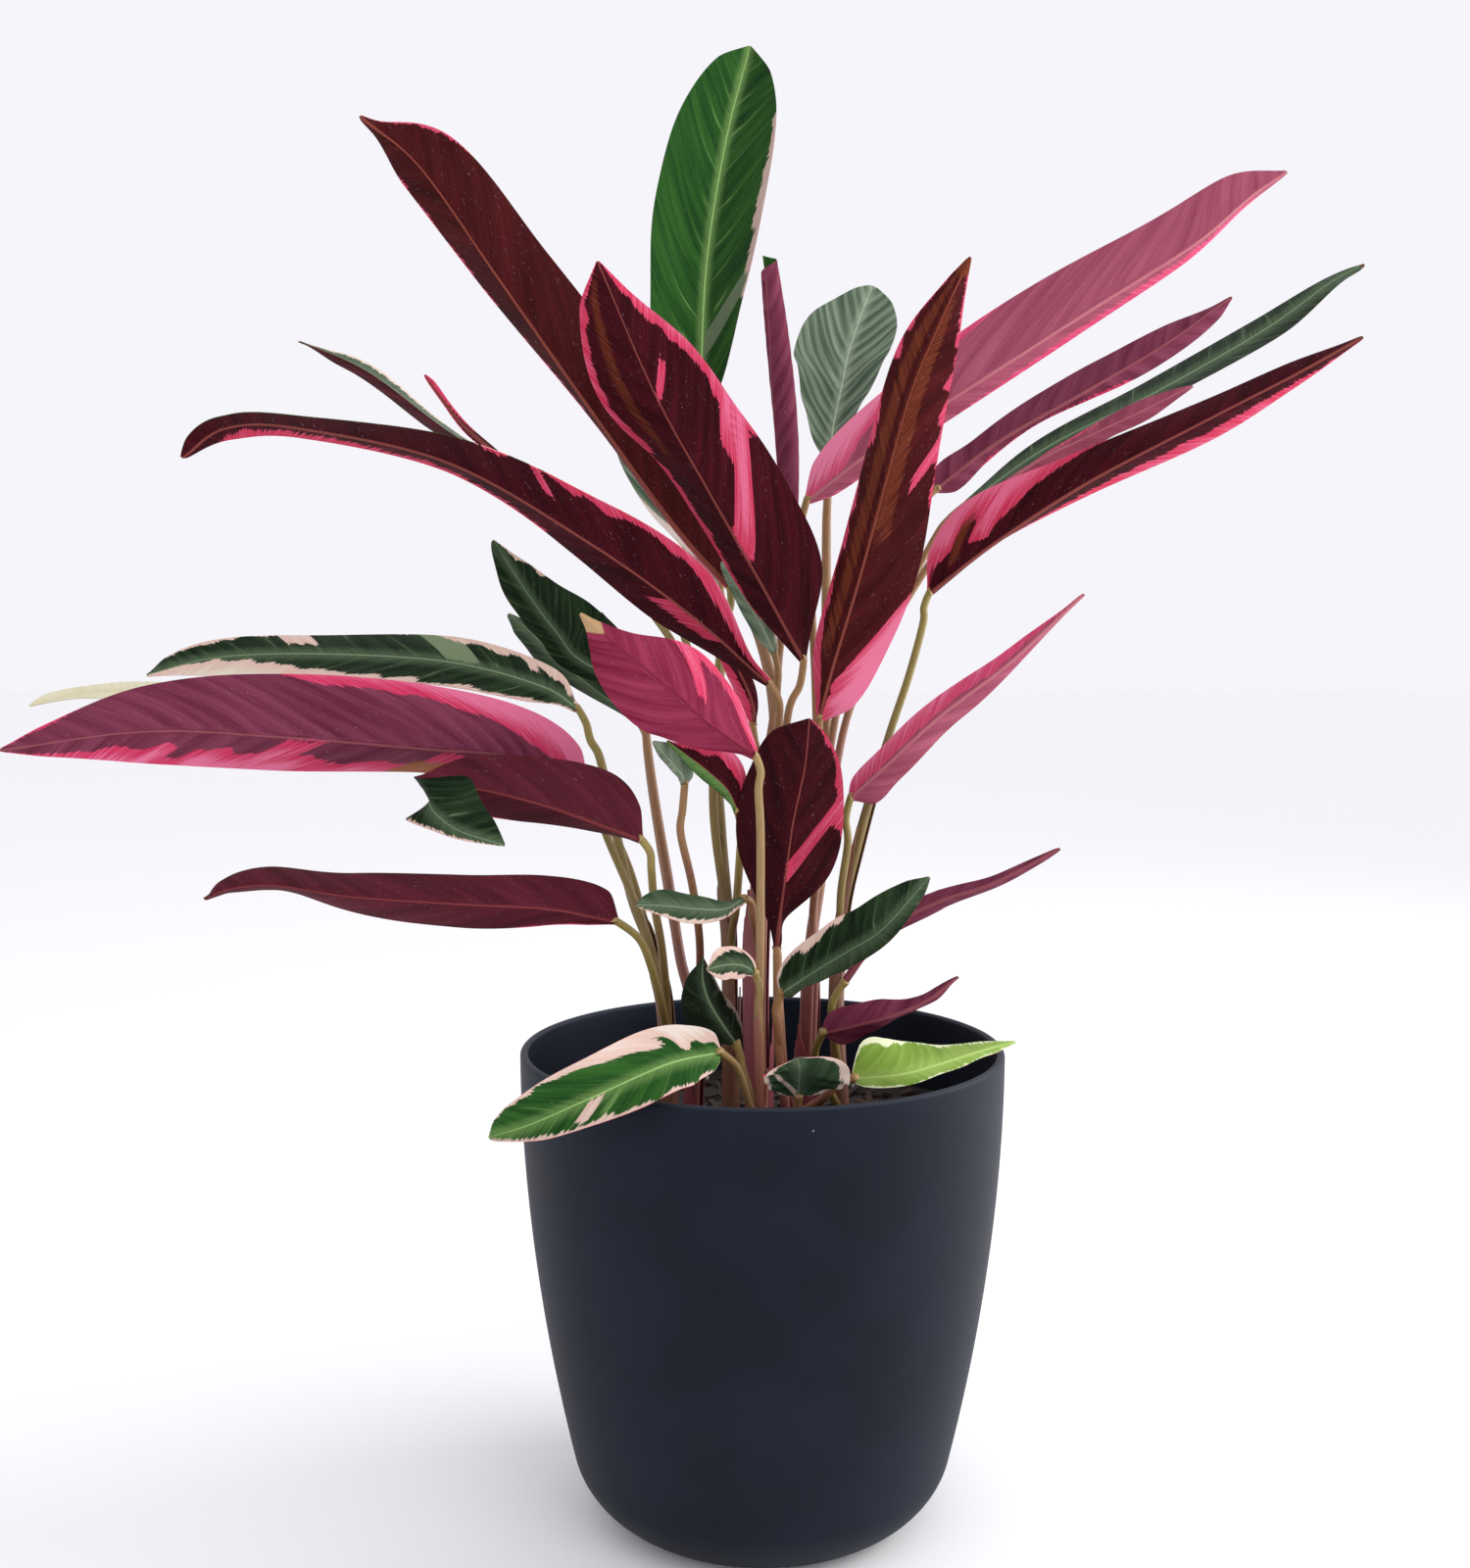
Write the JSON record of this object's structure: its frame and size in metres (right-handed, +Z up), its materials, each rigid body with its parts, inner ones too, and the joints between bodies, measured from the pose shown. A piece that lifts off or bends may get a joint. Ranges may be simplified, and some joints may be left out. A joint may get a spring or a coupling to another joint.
{
  "type": "potted stromanthe triostar plant",
  "caption": "Prayer plant with long variegated green, cream, pink and maroon leaves on slender stalks, standing in a round dark matte planter filled with soil.",
  "frame": {"origin": "centre of the pot's flat underside", "axes": "+Z up, along the pot's axis; -Y toward the picture's viewer; +X to the viewer's right"},
  "size_m": [0.7457, 0.3388, 0.7683],
  "materials": {
    "pot": "matte",
    "soil": "matte",
    "stalk_olive": "satin",
    "stalk_rose": "satin",
    "leaf_green": "satin",
    "leaf_maroon": "satin",
    "leaf_rose": "satin",
    "leaf_cream": "satin"
  },
  "bodies": {
    "root": {"pot": "pot", "soil": "soil", "shoot_left": "stalk_olive", "shoot_left_middle": "stalk_rose", "shoot_centre_left": "stalk_olive", "shoot_centre": "stalk_rose", "shoot_front": "stalk_olive", "shoot_right": "stalk_rose", "shoot_outer_right": "stalk_olive", "shoot_front_right": "stalk_rose", "leaf_top_green": "leaf_green", "leaf_furled": "leaf_rose", "leaf_ovate_back": "leaf_green", "leaf_centre_maroon": "leaf_maroon", "leaf_upper_left": "leaf_maroon", "leaf_arching_left": "leaf_maroon", "leaf_far_left": "leaf_green", "leaf_thin_left": "leaf_maroon", "leaf_behind_left": "leaf_green", "leaf_dark_green_left": "leaf_green", "leaf_dark_green_back": "leaf_green", "leaf_cream_left": "leaf_cream", "leaf_long_lower_left": "leaf_rose", "leaf_curled_cream": "leaf_cream", "leaf_spoon": "leaf_rose", "leaf_curled_left": "leaf_cream", "leaf_low_left": "leaf_maroon", "leaf_upper_right": "leaf_rose", "leaf_wavy_purple": "leaf_maroon", "leaf_narrow_green": "leaf_green", "leaf_right_maroon": "leaf_maroon", "leaf_pink_green_tip": "leaf_cream", "leaf_right_upright": "leaf_maroon", "leaf_lower_right": "leaf_rose", "leaf_low_centre": "leaf_maroon", "leaf_torn_green": "leaf_green", "leaf_narrow_maroon": "leaf_maroon", "leaf_low_maroon": "leaf_maroon", "leaf_rim_right": "leaf_cream", "leaf_marbled_curly": "leaf_cream", "leaf_over_rim": "leaf_cream", "leaf_small_variegated": "leaf_cream", "leaf_small_grey": "leaf_green", "leaf_dark_in_pot": "leaf_green", "leaf_small_grey_up": "leaf_green", "leaf_folded_maroon": "leaf_maroon", "leaf_olive_centre": "leaf_green", "leaf_pink_behind": "leaf_rose"}
  },
  "joints": []
}
